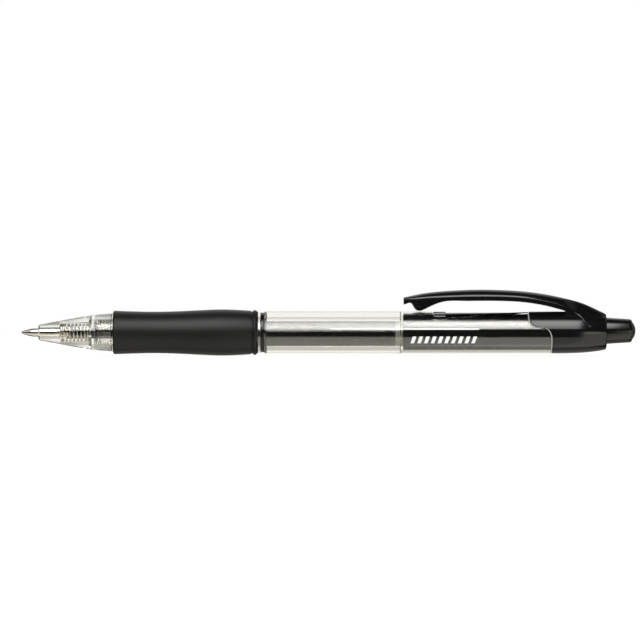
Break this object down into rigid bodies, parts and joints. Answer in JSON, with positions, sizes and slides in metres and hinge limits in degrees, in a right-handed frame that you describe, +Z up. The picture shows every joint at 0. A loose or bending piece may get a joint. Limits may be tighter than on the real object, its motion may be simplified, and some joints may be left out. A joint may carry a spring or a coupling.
{
  "type": "retractable gel pen",
  "caption": "Click gel pen: clear barrel showing the refill, rubber grip, sprung clip, push button, cam rotor and return spring.",
  "frame": {"origin": "middle of the pen's length, on the surface that the lying pen rests on, under its axis", "axes": "+X along the pen from the point to the button, +Z up to the clip, +Y across"},
  "size_m": [0.146, 0.011, 0.0157],
  "materials": {
    "ball_steel": "polished hard metal",
    "point_metal": "turned nickel silver, bright",
    "spring_wire": "drawn steel wire",
    "holder_plastic": "translucent natural plastic over ink",
    "tube_plastic": "clear tube, glossy",
    "gel": "black gel ink, wet",
    "grease": "cloudy follower grease",
    "white_plastic": "moulded white plastic",
    "clear_plastic": "clear moulded plastic, polished",
    "grip_rubber": "matte moulded rubber",
    "black_plastic": "black moulded plastic, glossy",
    "black_ring": "black ring, glossy"
  },
  "bodies": {
    "barrel": {"front_section": "clear_plastic", "rubber_grip": "grip_rubber", "joint_ring": "black_ring", "clear_barrel": "clear_plastic", "inner_sleeve": "black_plastic", "rear_cap": "black_plastic", "return_spring": "spring_wire"},
    "refill": {"metal_point": "point_metal", "tip_holder": "holder_plastic", "refill_tube": "tube_plastic", "gel_ink": "gel", "ink_follower": "grease", "refill_plug": "white_plastic"},
    "ball": {"writing_ball": "ball_steel"},
    "cam": {"cam_rotor": "white_plastic"},
    "button": {"push_button": "black_plastic", "plunger": "white_plastic"},
    "clip": {"pocket_clip": "black_plastic"}
  },
  "joints": [
    {"name": "button_slide", "type": "slide", "parent": "barrel", "child": "button", "axis": [1, 0, 0], "range_m": [-0.0014, 0.0046], "stiffness_N_per_m": 250},
    {"name": "refill_slide", "type": "slide", "parent": "barrel", "child": "refill", "axis": [1, 0, 0], "range_m": [-0.0014, 0.0046], "deforming": ["return_spring"]},
    {"name": "cam_turn", "type": "hinge", "parent": "refill", "child": "cam", "pos_m": [0.03921, 0, 0.00549], "axis": [1, 0, 0], "continuous": true},
    {"name": "ball_roll", "type": "hinge", "parent": "refill", "child": "ball", "pos_m": [-0.07265, 0, 0.00549], "axis": [0, 1, 0], "continuous": true},
    {"name": "clip_flex", "type": "hinge", "parent": "barrel", "child": "clip", "pos_m": [0.05607, 0, 0.01369], "axis": [0, 1, 0], "range_deg": [0, 5], "stiffness_Nm_per_rad": 2}
  ],
  "couplings": [
    {"joint": "refill_slide", "follows": "button_slide", "ratio": 1}
  ]
}
